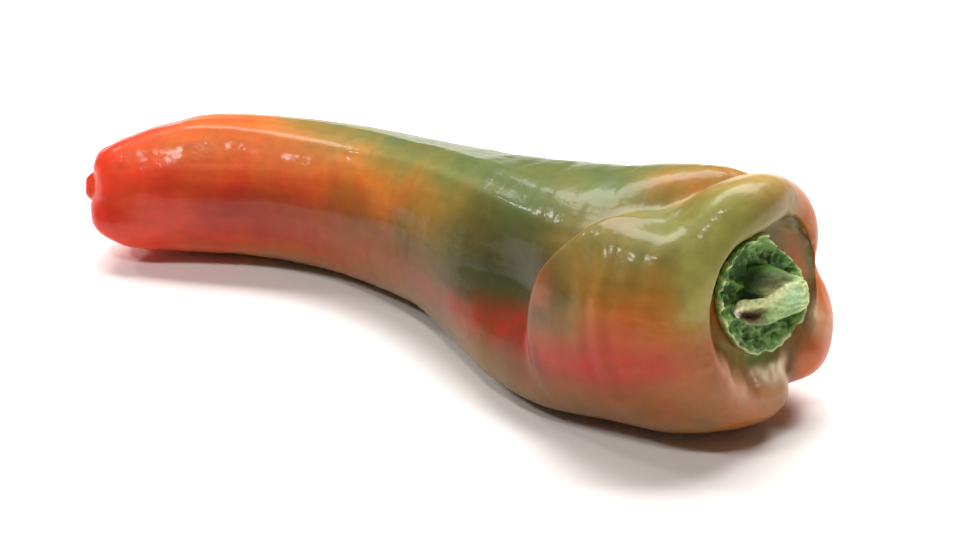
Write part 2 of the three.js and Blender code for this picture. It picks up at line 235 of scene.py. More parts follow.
def arc(points):
    """The length of a line up to each of its points."""
    return np.concatenate([[0], np.cumsum(np.linalg.norm(np.diff(points, axis=0), axis=1))])


def read_at(x, keys, values):
    return np.stack([np.interp(x, keys, values[:, k]) for k in range(values.shape[1])], axis=-1)


def unit(v):
    return v / np.linalg.norm(v, axis=-1, keepdims=True)


def linear(rgb):
    """Linear colour from sRGB values of 0 to 255."""
    c = np.array(rgb, float) / 255
    return np.where(c <= 0.04045, c / 12.92, ((c + 0.055) / 1.055) ** 2.4)


# ------------------------------------------------------------------ the skin of the fruit

widths, heights, centres = [], [], []
for x, y, swell, full, under in STATIONS:
    widths.append(full * mix(BODY_WIDTH, SHOULDER_WIDTH, swell) / 2)
    heights.append(full * mix(BODY_HEIGHT, SHOULDER_HEIGHT, swell) / 2)
    centres.append((x * LENGTH, y * BOW, heights[-1] + under))
spine = curve(centres)[1]
spine_arc = arc(spine)
SPINE_LENGTH = spine_arc[-1]
spine_wide = curve([(i, w, 0) for i, w in enumerate(widths)])[1][:, 1]
spine_tall = curve([(i, h, 0) for i, h in enumerate(heights)])[1][:, 1]
spine_ahead = unit(np.gradient(spine, spine_arc, axis=0))


def section_at(distance):
    """The centre line's point and directions, and the half width and height, at distances in mm."""
    d = np.clip(distance, 0, SPINE_LENGTH)
    middle = read_at(d, spine_arc, spine)
    ahead = unit(read_at(d, spine_arc, spine_ahead))
    near = unit(np.cross(ahead, (0, 0, 1)))
    up = unit(np.cross(near, ahead))
    wide = np.interp(d, spine_arc, spine_wide)
    tall = np.interp(d, spine_arc, spine_tall)
    return middle, ahead, near, up, wide, tall


FLOOR_AT = SPINE_LENGTH - CAVITY_DEPTH
outside = [(s * SPINE_LENGTH, spread * section_at(s * SPINE_LENGTH)[4]) for s, spread in OUTSIDE]
wall = [(SPINE_LENGTH - d * CAVITY_DEPTH, CAVITY_WIDTH / 2 + (1 - i) * CAVITY_WALL) for d, i in WALL]
floor = [(FLOOR_AT, s * CAVITY_WIDTH) for s in CAVITY_FLOOR]
meridian_u, meridian = curve([(a, b, 0) for a, b in outside + wall + floor])
meridian_arc = arc(meridian)
meridian_slope = unit(np.gradient(meridian, meridian_arc, axis=0))
# The cavity's floor begins at FLOOR_EDGE %, and its middle is at END %.
CREST_LENGTH = np.interp(len(outside), meridian_u, meridian_arc)
FLOOR_EDGE = 100 * np.interp(len(outside) + len(wall) - 1, meridian_u, meridian_arc) / CREST_LENGTH
END = 100 * meridian_arc[-1] / CREST_LENGTH

fold_path = table(FOLD)
ridge_paths = [(span, table(rows)) for span, rows in RIDGES]


def meridian_at(along):
    """Where the plain skin is (distance along the centre line, radius), and which way it runs."""
    length = np.minimum(along / END, 1) * meridian_arc[-1]
    return read_at(length, meridian_arc, meridian), unit(read_at(length, meridian_arc, meridian_slope))


def round_about(along, angle):
    """Points of the plain skin in mm with its centre line made straight, to read noise at."""
    distance, radius, _ = meridian_at(along)[0].T
    a = np.radians(angle)
    return np.stack([distance, radius * np.cos(a), radius * np.sin(a)], axis=-1)


def shift_at(along, angle):
    """How far the relief lifts the skin, leans back over the body, and leans in over the cavity."""
    edge, share = fold_path(wrap(angle)).T
    height = share * FOLD_HEIGHT * step(along, edge - FOLD_RUN / 2, edge + FOLD_RUN / 2)
    lift = height * (1 - step(along, *FOLD_ENDS))
    lean = FOLD_LEAN * height * (1 - step(along - edge, *FOLD_LEAN_ENDS))
    for span, path in ridge_paths:
        crest, rise = path(along).T
        lift = lift + rise * np.exp(-((wrap(angle - crest) / span) ** 2))
    for at, round_at, rise, reach, span in SWELLINGS:
        lift = lift + rise * bell(along, angle, (at, round_at, reach, span))
    fade = step(along, *RELIEF_STARTS) * (1 - step(along, RELIEF_ENDS, FLOOR_EDGE))
    inward = 0
    for at, round_at, shift, reach, span in LEANING_IN:
        inward = inward + shift * bell(along, angle, (at, round_at, reach, span))
    return lift * fade, lean, inward * (1 - step(along, LEANING_ENDS, FLOOR_EDGE))


def detail_at(along, angle):
    """The small unevenness of the skin, in mm."""
    p = round_about(along, angle)
    total = 0
    for per_along, per_round, seed, height in UNEVENNESS:
        total = total + height * noise(p * (per_along, per_round, per_round), seed, 2)
    lobes = TIP_LOBES * np.cos(np.radians(3 * angle + 40)) + TIP_DENTS * noise(p / 7, 50, 2)
    tip = (1 - step(along, *TIP_ENDS)) * step(along, *TIP_STARTS)
    wall = step(along, *LUMPS_START) * (1 - step(along, LUMPS_END, FLOOR_EDGE))
    lumps = LUMPS * noise(p / 4.2, 33, 2)
    ripples = RIPPLES * np.sin(along * RIPPLE_PACE + 1.5 * noise(p / 12, 55))
    total = total + tip * lobes + wall * lumps + bell(along, angle, RIPPLES_AT) * ripples
    return total * (1 - step(along, UNEVENNESS_ENDS, FLOOR_EDGE))


def fruit_points(along, angle):
    at, slope = meridian_at(along)
    middle, ahead, near, up, wide, tall = section_at(at[:, 0])
    lift, lean, inward = shift_at(along, angle)
    lift = lift + detail_at(along, angle)
    inside = step(along, CAVITY_STARTS, FLOOR_EDGE + CAVITY_PAST_EDGE)
    a = np.radians(angle)
    reach = at[:, 1] + lift * slope[:, 0] - lean * slope[:, 1] - inward
    rise = np.cos(a) * reach * tall / wide + CAVITY_RISE * inside
    sideways = np.sin(a) * reach
    across = sideways - CAVITY_SHIFT * inside
    sunk = sideways * math.tan(math.radians(CAVITY_LEAN)) * inside
    forward = np.minimum(at[:, 0], 0) - lift * slope[:, 1] - lean * slope[:, 0] - sunk
    point = middle + up * rise[:, None] + near * across[:, None] + ahead * forward[:, None]
    # It is flat where it lies on the floor.
    point[:, 2] = np.maximum(point[:, 2], 0)
    return (point - MIDDLE) * MM


# ------------------------------------------------------------------ meshes


def tube_faces(rings, sides):
    """Faces of a closed skin whose vertices are a pole, then rings, then another pole."""
    rows = np.meshgrid(np.arange(rings - 1), np.arange(sides), indexing="ij")
    ring, side = (g.ravel() for g in rows)
    after = (side + 1) % sides
    low, high = 1 + ring * sides, 1 + (ring + 1) * sides
    quads = np.stack([low + side, low + after, high + after, high + side], -1)
    s = np.arange(sides)
    last = 1 + (rings - 1) * sides
    start = np.stack([0 * s, 1 + (s + 1) % sides, 1 + s], -1)
    end = np.stack([0 * s + last + sides, last + s, last + (s + 1) % sides], -1)
    return [tuple(map(int, f)) for part in (start, quads, end) for f in part]


def grid_mesh(name, rings, sides, points, colors):
    """A closed skin of rings: points and colors (rgb) are (rings * sides) arrays, ring by ring,
    and the first and the last ring are shrunk to their middles."""
    p = points.reshape(rings, sides, 3)
    c = colors.reshape(rings, sides, 3)
    verts = [p[0].mean(0)[None], p[1:-1].reshape(-1, 3), p[-1].mean(0)[None]]
    tints = [c[0].mean(0)[None], c[1:-1].reshape(-1, 3), c[-1].mean(0)[None]]
    return solid(name, np.vstack(verts), tube_faces(rings - 2, sides), np.vstack(tints))


def solid(name, verts, faces, tints):
    """An object whose vertices carry their colour in the attribute called tint."""
    mesh = bpy.data.meshes.new(name)
    mesh.from_pydata([tuple(v) for v in verts], [], faces)
    mesh.update()
    layer = mesh.color_attributes.new("tint", "FLOAT_COLOR", "POINT")
    rgba = np.hstack([tints, np.ones((len(tints), 1))])
    layer.data.foreach_set("color", rgba.astype(np.float32).ravel())
    mesh.shade_smooth()
    made = bpy.data.objects.new(name, mesh)
    bpy.context.scene.collection.objects.link(made)
    return made


# ------------------------------------------------------------------ the colours of the fruit

# From unripe to ripe.
RAMP = linear([
    (72, 92, 50), (86, 106, 56), (102, 112, 56), (124, 112, 50), (156, 114, 44),
    (190, 106, 36), (208, 88, 30), (214, 64, 28), (206, 42, 26), (186, 30, 28),
])
# How ripe the skin is, 0 to 9, at these distances along it (columns) and angles round it (rows).
RIPE_ALONG = [
    0, 6, 12, 18, 24, 30, 36, 42, 48, 54, 60, 66, 71, 75, 79, 83, 87, 91, 95, 98, 101, 104, 108
]
RIPE = {
    -180: "87765444333333444555554",
    -120: "88777654322223344455654",
    -60: "88776532111112334455554",
    -20: "88755421111111233444333",
    5: "88766532222222234443333",
    25: "87666544222222333322233",
    36: "87666555443222333232233",
    46: "87666655554322333332233",
    58: "87777666543333334443223",
    70: "87777765543322346555433",
    80: "87777666543222356666543",
    88: "87777766554322467666544",
    96: "87777766555445577666654",
    105: "87887776655566655555654",
    118: "88777665543334455555554",
    130: "87776544433334455445554",
    150: "87765443333334445555554",
}
# The near flank and the hollow before the near lobe are painted darker for the shade they lie in.
# Darker stretches, partly deeper skin and partly painted shade: distance, angle, how much darker,
# reach and span.
SHADE_AND_DEEPER_SKIN = [
    (30, 100, 0.48, 26, 32),
    (64, 102, 0.5, 26, 34),
    (22, 76, 0.3, 16, 20),
    (48, 70, 0.44, 13, 20),
    (58, 90, 0.28, 10, 22),
    (69.5, 62, 0.6, 9, 34),
    (88, 104, 0.44, 12, 42),
    (75.5, 94, 0.55, 6.5, 15),
    (76, 66, 0.45, 3.5, 15),
    (56, -6, 0.34, 32, 30),
]
# Spots of other colours, some of them painted highlights and painted shade: distance, angle, colour,
# reach, span and strength.
SPOTS = [
    (80, 99, (170, 12, 8), 15, 9, 0.7),
    (91, 97, (170, 20, 12), 7, 9, 0.45),
    (80, 74, (150, 84, 44), 2.4, 24, 0.6),
    (78, 140, (104, 78, 52), 30, 28, 0.6),
    (45, 140, (120, 76, 54), 22, 24, 0.5),
    (99, 60, (168, 160, 84), 3, 34, 1),
    (100, 104, (168, 100, 60), 2.2, 26, 1),
    (102.5, 62, (150, 158, 70), 1.8, 20, 1),
    (98.5, 25, (142, 140, 68), 2.8, 22, 1),
    (98, -12, (160, 134, 74), 2.6, 18, 1),
    (98.5, -48, (206, 112, 54), 3.5, 20, 1),
    (102, -40, (104, 88, 48), 1.8, 50, 1),
    (102, 20, (104, 100, 46), 1.4, 40, 1),
    (98.5, -95, (206, 96, 30), 3.8, 30, 1),
    (103, -85, (120, 106, 56), 1.4, 40, 1),
    # Painted highlights: the three cream spots on the cavity's lower wall; the light tan spot at 135
    # degrees is partly thin skin and partly painted highlight.
    (101.5, -125, (244, 222, 186), 1.8, 15, 1),
    (101.5, -165, (246, 222, 190), 1.9, 17, 1),
    (102, 170, (244, 218, 186), 1.5, 10, 1),
    (103.6, 170, (142, 160, 84), 0.9, 46, 1),
    (101, 135, (222, 164, 124), 1.6, 22, 1),
    (98.5, -140, (196, 84, 30), 3.6, 18, 1),
    # Painted shade in the furrow between the rim's lower lobes.
    (99.5, -158, (90, 70, 40), 3, 5, 1),
    (97, -175, (140, 108, 66), 3, 16, 1),
]
# Noise in the colours: how strong, the size of its patches in mm, seed and octaves. The first
# two push the patches of ripeness about, by so many % and degrees.
WARP_ALONG = (3.6, 16, 60, 2)
WARP_ROUND = (8, 14, 70, 2)
RIPE_PATCHES = (0.4, 9, 80, 3)
MOTTLING = (0.06, 3, 95, 2)
SPOT_PATCHES = (0.5, 4, 110, 2)
# How strong the streaks along the skin are, and their noise per mm along and round it.
STREAKS, STREAK_SCALES = 0.08, (0.05, 0.5, 0.5)
# How far ripeness is smoothed out, in % and degrees, and the points that do it.
SOFT_ALONG, SOFT_ROUND = 7, 14
SOFT_RINGS, SOFT_TURNS = (0.3, 0.65, 1), 6
# Turns the points that patches are read at, so that no patch lies square to the centre line.
TURN = np.array([(0.77, -0.53, 0.37), (0.64, 0.63, -0.44), (0, 0.57, 0.82)])


def ripeness(along, angle):
    """Ripeness from 0 to 9, read between the digits of RIPE."""
    angles = np.array(sorted(RIPE), float)
    grid = np.array([[int(c) for c in RIPE[int(a)]] for a in angles], float)
    angles = np.append(angles, 180)
    grid = np.vstack([grid, grid[0]])
    row = np.interp(wrap(angle), angles, np.arange(len(angles)))
    column = np.interp(along, RIPE_ALONG, np.arange(len(RIPE_ALONG)))
    r = np.minimum(row.astype(int), len(angles) - 2)
    c = np.minimum(column.astype(int), len(RIPE_ALONG) - 2)
    low = mix(grid[r, c], grid[r, c + 1], column - c)
    high = mix(grid[r + 1, c], grid[r + 1, c + 1], column - c)
    return mix(low, high, row - r)


def patches(p, strength, size, seed, octaves):
    return strength * noise(p / size, seed, octaves)


def fruit_tints(along, angle):
    p = round_about(along, angle)
    turned = p @ TURN
    moved_along = along + patches(turned, *WARP_ALONG)
    moved_angle = angle + patches(turned, *WARP_ROUND)
    softened = []
    for reach, turn in product(SOFT_RINGS, range(SOFT_TURNS)):
        a = moved_along + reach * SOFT_ALONG * math.cos(turn)
        b = moved_angle + reach * SOFT_ROUND * math.sin(turn)
        softened.append(ripeness(a, b))
    ripe = np.mean(softened, axis=0) + patches(turned, *RIPE_PATCHES)
    ripe = np.clip(ripe, 0, len(RAMP) - 1)
    tint = read_at(ripe, np.arange(len(RAMP)), RAMP)
    streaks_and_shade = 1 + STREAKS * noise(p * STREAK_SCALES, 90, 2) + patches(turned, *MOTTLING)
    # Painted shade on the near flank and in the hollow before the near lobe, with deeper skin
    # elsewhere.
    for at, round_at, darker, reach, span in SHADE_AND_DEEPER_SKIN:
        streaks_and_shade = streaks_and_shade * (1 - darker * bell(moved_along, moved_angle, (at, round_at, reach, span)))
    tint = tint * streaks_and_shade[:, None]
    uneven = 1 + patches(p, *SPOT_PATCHES)
    for at, round_at, rgb, reach, span, strength in SPOTS:
        share = strength * bell(along, angle, (at, round_at, reach, span)) * uneven
        tint = mix(tint, linear(rgb), np.clip(share, 0, 1)[:, None])
    return tint


# Rings of the fruit's mesh: how far each band of them goes in %, and how many it has.
BANDS = [(5.5, 26), (70, 132), (92, 118), (100, 40), (END, 42)]
SIDES = 240


def ring_distances():
    rows = [np.zeros(1)]
    start = 0
    for stop, count in BANDS:
        rows.append(mix(start, stop, np.arange(1, count + 1) / count))
        start = stop
    return np.concatenate(rows)


def fruit_mesh():
    distances = ring_distances()
    angles = -180 + 360 * np.arange(SIDES) / SIDES
    along, angle = (g.ravel() for g in np.meshgrid(distances, angles, indexing="ij"))
    points, tints = fruit_points(along, angle), fruit_tints(along, angle)
    return grid_mesh("pepper_fruit", len(distances), SIDES, points, tints)


# ------------------------------------------------------------------ the cavity's frame

middle, ahead, near, CAVITY_UP, *_ = (v[0] for v in section_at(np.array([FLOOR_AT])))
lean = math.radians(CAVITY_LEAN)
CAVITY_OUT = ahead * math.cos(lean) + near * math.sin(lean)
CAVITY_SIDE = near * math.cos(lean) - ahead * math.sin(lean)
CAVITY_ORIGIN = middle + CAVITY_UP * CAVITY_RISE - near * CAVITY_SHIFT - MIDDLE


def in_cavity(x, y, z):
    """Points in metres from the cavity's own x (up), y (near side) and z (out), in mm."""
    x, y, z = (np.asarray(v, float)[..., None] for v in (x, y, z))
    return (CAVITY_ORIGIN + x * CAVITY_UP + y * CAVITY_SIDE + z * CAVITY_OUT) * MM


# ------------------------------------------------------------------ the calyx

# How far the crinkled disc reaches, in mm, at angles round the cavity (0 up, 90 the near side).
CALYX_REACH = table([
    (-194, 14.4), (-180, 14.5), (-150, 14), (-130, 14.7), (-112, 13.4), (-92, 11.7), (-75, 10.9),
    (-55, 10.4), (-33, 10.7), (-16, 12.3), (-7, 13.8), (-3, 14.9), (3, 14.6), (20, 14.9), (45, 15),
    (60, 15), (80, 14.5), (105, 13.9), (130, 13.9), (150, 14.5), (170, 14.4), (180, 14.5),
])
# The calyx's green, its painted shade for the hollows and creases, and its painted light for the
# raised folds and rolled edge.
CALYX_SHADED, CALYX_GREEN, CALYX_LIT = linear([(50, 84, 38), (122, 162, 84), (206, 222, 166)])
STALK_AT = (2.6, 1.6)
# Heights of what stands on its face, in mm, and the least height that is left.
FACE, HOLLOW, BORDER, FOLDS, CRINKLES, PIMPLES = 1.3, 0.9, 0.9, 0.75, 0.5, 0.12
TOOTH, ROLL, LOWEST = 0.9, 0.45, 0.55
# Its section from the middle of the back to the edge of the face: share of its reach, and 0 on
# the back to 1 on the face. The face has rings from there to its middle.
CALYX_SECTION = [(0.0, 0), (0.5, 0), (0.9, 0), (0.985, 0.15), (1, 0.5), (0.993, 0.85)]
CALYX_FACE, CALYX_RINGS, CALYX_SIDES, CALYX_BACK_AT = 0.985, 96, 300, 0.3


def calyx_relief(x, y, share):
    """How high the disc's face stands, and its painted light from 0 to 1: lighter on its folds,
    crinkles and rolled edge, darker in its hollow.
    """
    theta = np.arctan2(y, x)
    round_it = np.stack([np.cos(theta), np.sin(theta), share * 0.5], axis=-1)
    at = np.stack([x, y, np.zeros_like(x)], axis=-1)
    bend = 0.25 * noise(at / 5, 13, 2)[:, None]
    fold = 1 - 2 * np.abs(noise(round_it * 2.6 + bend, 4)) ** 0.7
    crinkle = 1 - 2 * np.abs(noise(at / 2.3, 40, 3))
    pimple = noise(at / 0.8, 70, 2)
    # Shares of the reach: the folds begin outside the middle, a hollow runs round halfway out,
    # the border rises, and its edge is rolled, with one tooth on top.
    middle = step(share, 0.3, 0.5)
    border = step(share, 0.8, 0.97)
    hollow = np.exp(-(((share - 0.68) / 0.16) ** 2))
    tooth = np.exp(-(((np.degrees(theta) + 3) / 5) ** 2)) * step(share, 0.8, 1)
    rolled = step(share, 0.93, 0.97) * (1 - step(share, 0.985, 1))
    hollow_here = hollow * (1 - 0.4 * step(np.cos(theta + 0.7), 0.2, 1))
    height = FACE - HOLLOW * hollow_here + BORDER * border
    height = height + middle * (FOLDS * fold * (1 - 0.6 * border) + CRINKLES * crinkle)
    height = height + PIMPLES * pimple + TOOTH * tooth + ROLL * rolled
    # Painted light and shade: lighter on the folds, crinkles, pimples and rolled edge, darker in the
    # hollow.
    light_and_shade = 0.45 + 0.3 * fold * middle + 0.28 * crinkle + 0.12 * pimple - 0.35 * hollow + 0.5 * rolled
    return np.maximum(height, LOWEST), light_and_shade


def calyx_mesh():
    face = [(share, 1) for share in np.linspace(CALYX_FACE, 0, CALYX_RINGS)]
    rows = np.array(CALYX_SECTION + face)
    share, raised = (np.repeat(column, CALYX_SIDES) for column in rows.T)
    angle = np.tile(-180 + 360 * np.arange(CALYX_SIDES) / CALYX_SIDES, len(rows))
    cos, sin = np.cos(np.radians(angle)), np.sin(np.radians(angle))
    ragged = 1 + 0.02 * noise(np.stack([cos * 6, sin * 6, 0 * angle], -1), 0, 3)
    reach = CALYX_REACH(angle)[:, 0] * ragged
    x = share * reach * cos
    y = share * reach * sin
    height, light_and_shade = calyx_relief(x, y, share)
    z = mix(CALYX_BACK_AT, height, raised)
    # Painted shade: it is darkest round the stalk's foot.
    light_and_shade = light_and_shade - 0.35 * (1 - step(np.hypot(x - STALK_AT[0], y - STALK_AT[1]), 3.5, 7.5))
    # Painted shade in the hollows, painted light on the raised parts.
    tint = mix(CALYX_SHADED, CALYX_GREEN, step(light_and_shade, -0.05, 0.62)[:, None])
    tint = mix(tint, CALYX_LIT, step(light_and_shade, 0.6, 1.15)[:, None])
    # Painted light: its near side, which lies deepest in the cavity's shade, is lightened; its far
    # upper side is a lighter green too.
    far_side = step(-sin + 0.6 * cos, 0.3, 1.1)[:, None]
    near_side_painted_light = step(np.sin(np.radians(angle + 25)), 0.2, 0.9)[:, None]
    tint = tint * (1 + 0.2 * far_side + 0.4 * near_side_painted_light)
    return grid_mesh("pepper_calyx", len(rows), CALYX_SIDES, in_cavity(x, y, z), tint)


# ------------------------------------------------------------------ the stem

# The torn end faces 30 degrees round from the near side and 28 degrees up: its run goes along
# the tear, its rise across it, and its front comes out of it.
turned, tilted = math.radians(30), math.radians(28)
FACE_RUN = np.array([math.cos(turned), math.sin(turned), 0])
FACE_FRONT = np.array([
    math.sin(turned) * math.cos(tilted), -math.cos(turned) * math.cos(tilted), math.sin(tilted)
])
FACE_RISE = np.cross(FACE_FRONT, FACE_RUN)

# The stalk, which comes out of the calyx and lies over to the far side: run, rise, front, radius.
STALK = [
    (-1.6, 1.4, 0.2, 5.6), (-0.9, 1.5, 2, 4.9), (0.2, 1.6, 3.6, 4.7), (2.2, 1.2, 4.2, 4.3),
    (4.6, 0.6, 4.4, 3.8), (7, 0, 4.8, 3.4), (9, -0.6, 5.6, 2.6), (9.8, -0.8, 6, 1),
]
# The far lip of the tear: run, then rise and front of its crest and of its foot.
LIP = [
    (0.5, 4.6, 5.2, 3.2, 5.6), (2.5, 4.2, 6.6, 3, 6.6), (4.8, 3.9, 7.6, 2.6, 7.2),
    (7, 3.4, 8.2, 2.2, 7.8), (9, 2.8, 8.4, 1.4, 8),
]
# The shell that is folded back in front: its run at the top and at the bottom, then rise and
# front of its torn edge's back, the edge's front, its belly and its lower rim.
SHELL = [
    ((-5.9, -6.7), [(-2.6, 8.2), (-3.3, 8.6), (-4.3, 8.5), (-5.2, 8.5)]),
    ((-4.9, -5.4), [(-2, 8.2), (-3.6, 9.4), (-5.2, 7.2), (-6.4, 8.6)]),
    ((-3.2, -3.9), [(-1.9, 8.2), (-3.6, 9.7), (-5.5, 5.8), (-7.5, 8.3)]),
    ((-0.8, -1.8), [(-1.8, 8.4), (-3.2, 9.8), (-5.4, 5.8), (-8, 8)]),
    ((1.4, 0.8), [(-0.9, 8.6), (-2.4, 9.8), (-4.6, 7.8), (-7.6, 7.4)]),
    ((3.4, 3.6), [(0.3, 8.8), (-1.2, 9.8), (-3.4, 9.4), (-6.5, 6.8)]),
    ((5.4, 6.4), [(1.6, 8.8), (0.4, 9.8), (-2, 9.5), (-5.3, 6.6)]),
    ((7.8, 9), [(2.6, 8.8), (1.6, 9.6), (-0.4, 9.3), (-4.2, 6.6)]),
    ((9.4, 10.4), [(2.6, 8.2), (1.8, 8.8), (-0.4, 8.4), (-3, 6.6)]),
    ((10.2, 10.7), [(1.4, 7.6), (1, 7.8), (-0.4, 7.6), (-1.8, 6.8)]),
]
SHELL_THICKNESS = 1.7
# Rings along each loft and vertices round it, and the size of the voxels that join them, in mm.
STALK_GRID, LIP_GRID, SHELL_GRID = (90, 64), (50, 40), (110, 80)
VOXEL, SMOOTHINGS = 0.2, 4
# The stalk's section: its corners for the loft, its ribs and how high they stand.
STALK_CORNERS, STALK_RIBS, RIB_HEIGHT = 24, 6, 0.05


def loft(outlines, samples, sides):
    """Verts and faces of a closed skin through closed outlines (n, k, 3), smooth both ways."""
    outlines = np.array(outlines, float)
    n, k, _ = outlines.shape
    along = np.linspace(0, n - 1, samples)
    rows = table([(i, *o.ravel()) for i, o in enumerate(outlines)])(along).reshape(samples, k, 3)
    closed = np.concatenate([rows[:, -2:], rows, rows[:, :3]], axis=1)
    keys = np.arange(-2, k + 3)
    around = np.arange(sides) * k / sides
    ring = np.stack([table(np.column_stack([keys, r]))(around) for r in closed])
    verts = np.vstack([ring[0].mean(0)[None], ring.reshape(-1, 3), ring[-1].mean(0)[None]])
    return verts, tube_faces(samples, sides)


def stalk_outlines():
    middles = np.array([row[:3] for row in STALK], float)
    ahead = unit(np.gradient(middles, axis=0))
    side = unit(np.cross(ahead, (0.0, 1.0, 0.2)))
    over = np.cross(side, ahead)
    outlines = []
    for (*_, radius), m, s, o in zip(STALK, middles, side, over):
        a = 2 * math.pi * np.arange(STALK_CORNERS) / STALK_CORNERS
        r = radius * (1 + RIB_HEIGHT * np.cos(STALK_RIBS * a + 0.6))
        outlines.append(m + (np.cos(a) * r)[:, None] * s + (np.sin(a) * r)[:, None] * o)
    return outlines


def lip_outlines():
    outlines = []
    for run, top, top_front, foot, foot_front in LIP:
        outlines.append([
            (run, foot, foot_front), (run, top - 0.2, top_front + 0.1),
            (run, top + 0.3, top_front - 0.5), (run, top + 0.1, top_front - 1.4),
            (run, foot, foot_front - 1.8),
        ])
    return outlines


def shell_outlines():
    outlines = []
    for (top_run, foot_run), rows in SHELL:
        rise = np.array([r for r, _ in rows])
        front = np.array([f for _, f in rows])
        share = (rise - rise[0]) / (rise[-1] - rise[0])
        run = mix(top_run, foot_run, share)
        outer = np.stack([run, rise, front], -1)
        inner = np.stack([run, rise, front - SHELL_THICKNESS], -1)[::-1]
        inner[0] += (0, 0.7, 0.3)
        inner[-1] += (0, -0.6, 0)
        outlines.append(np.vstack([outer, inner]))
    return outlines


# Spots of the stem: place (run, rise, front), colour and how far it spreads, all lightened by the
# factor below when they are used, as painted light for the shade the stem stands in.
STEM_PAINTED_LIGHT = 1.35
STEM_SPOTS = [
    # The bright greens on the stalk's top are partly painted light, and the darkest greens and browns
    # on its front and in its hollows are painted shade.
    ((-0.5, 7, 3), (128, 186, 74), 2.4),
    ((-2, 6.4, 3), (116, 172, 72), 2.2),
    ((2, 6, 4), (110, 160, 70), 2),
    ((-4.4, 3, 3), (84, 116, 70), 2.2),
    ((-1.6, 2.4, 6), (40, 66, 28), 2),
    ((-4.2, 0, 3), (66, 92, 54), 2),
    ((-1.5, -1, 6), (44, 64, 30), 1.8),
    ((2, 1.5, 6.5), (88, 92, 52), 2),
    ((4, 2, 6.5), (96, 96, 58), 1.8),
    ((3.5, 4, 8), (112, 136, 84), 1.6),
    ((7, 3.4, 8.4), (132, 156, 100), 1.8),
    ((-5.2, -2.4, 8.6), (216, 216, 168), 1.5),
    ((-3, -2.6, 9), (196, 202, 146), 1.5),
    ((-0.6, -2.4, 9), (192, 196, 140), 1.5),
    ((1.8, -1.6, 9.2), (200, 200, 150), 1.4),
    ((3.6, -0.2, 9.3), (206, 206, 156), 1.4),
    ((5.6, 1.2, 9.3), (200, 204, 152), 1.4),
    ((7.8, 2.4, 9.3), (176, 194, 134), 1.4),
    ((-6.6, -5, 8.5), (226, 226, 200), 1.2),
    ((-3.6, -5.4, 6.4), (92, 76, 50), 1.7),
    ((-1, -5.4, 6.2), (96, 78, 50), 1.7),
    ((-4.4, -7, 8.4), (178, 184, 146), 1.4),
    ((-1.4, -8, 8.2), (168, 182, 136), 1.5),
    ((2.2, -5, 8.4), (138, 164, 100), 2.2),
    ((5, -3.5, 9), (150, 178, 118), 2.4),
    ((6.6, -1, 9.4), (156, 192, 146), 1.8),
    ((8.2, -1.6, 9), (138, 184, 146), 1.8),
    ((9.8, 0.4, 8.4), (182, 198, 134), 2),
    ((10.2, -1.6, 7.6), (176, 184, 122), 2),
    ((6, -5, 7), (112, 146, 88), 2),
    ((2.5, -7.4, 7.4), (116, 144, 84), 2),
]


def by_spots(points, spots):
    """Colours at points, blended from coloured spots; far from all spots the nearest one wins."""
    away = np.stack([np.linalg.norm(points - at, axis=1) / spread for at, _, spread in spots], 1)
    weights = np.exp(-(away**2)) + 1e-3 / (away + 0.5) ** 6
    colors = linear([rgb for _, rgb, _ in spots])
    return weights @ colors / weights.sum(1, keepdims=True)


def joined(parts, voxel):
    """One closed skin round overlapping parts given as (verts, faces) in mm: verts and faces."""
    verts, faces, start = [], [], 0
    for v, f in parts:
        verts.append(v)
        faces += [tuple(i + start for i in face) for face in f]
        start += len(v)
    mesh = bpy.data.meshes.new("parts")
    mesh.from_pydata([tuple(v) for v in np.vstack(verts)], [], faces)
    mesh.update()
    thing = bpy.data.objects.new("parts", mesh)
    bpy.context.scene.collection.objects.link(thing)
    modifier = thing.modifiers.new("join", "REMESH")
    modifier.mode = "VOXEL"
    modifier.voxel_size = voxel
    evaluated = thing.evaluated_get(bpy.context.evaluated_depsgraph_get())
    skin = bpy.data.meshes.new_from_object(evaluated)
    bpy.data.objects.remove(thing)
    points = np.empty(len(skin.vertices) * 3)
    skin.vertices.foreach_get("co", points)
    polygons = [tuple(p.vertices) for p in skin.polygons]
    bpy.data.meshes.remove(skin)
    return points.reshape(-1, 3), polygons


def smoothed(points, faces, rounds):
    """Points moved towards the middle of their neighbours."""
    edges = np.array([(f[i - 1], f[i]) for f in faces for i in range(len(f))])
    first, second = edges.T
    count = np.bincount(first, minlength=len(points)) + np.bincount(second, minlength=len(points))
    for _ in range(rounds):
        total = np.zeros_like(points)
        for k in range(3):
            total[:, k] = np.bincount(first, points[second, k], len(points))
            total[:, k] += np.bincount(second, points[first, k], len(points))
        points = mix(points, total / count[:, None], 0.5)
    return points


def vertex_normals(points, faces):
    quads = np.array([f if len(f) == 4 else (*f, f[0]) for f in faces])
    a, b, c, d = (points[quads[:, corner]] for corner in range(4))
    cross = np.cross(c - a, d - b)
    total = np.zeros_like(points)
    for corner in range(4):
        for k in range(3):
            total[:, k] += np.bincount(quads[:, corner], cross[:, k], len(points))
    return unit(total + 1e-12)


